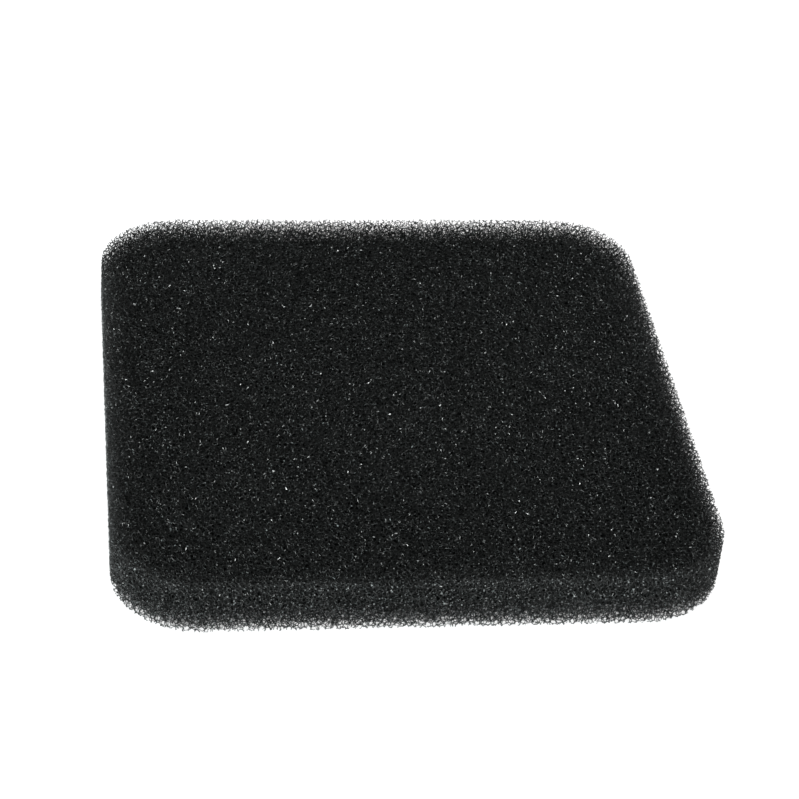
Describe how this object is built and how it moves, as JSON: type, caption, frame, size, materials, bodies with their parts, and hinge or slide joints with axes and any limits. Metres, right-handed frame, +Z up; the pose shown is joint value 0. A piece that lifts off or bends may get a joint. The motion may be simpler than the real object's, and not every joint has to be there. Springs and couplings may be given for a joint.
{
  "type": "filter sponge pad",
  "caption": "Flat rectangular filter sponge with rounded corners, die-cut from one sheet of black open-cell foam.",
  "frame": {"origin": "centre of the lower face, on the surface the pad lies on", "axes": "+Z up through the sheet, X along the shorter sides, -Y towards the front"},
  "size_m": [0.104, 0.112, 0.01],
  "materials": {
    "foam": "matte open-cell foam with fine glints on the struts"
  },
  "bodies": {
    "root": {"foam_pad": "foam"}
  },
  "joints": []
}
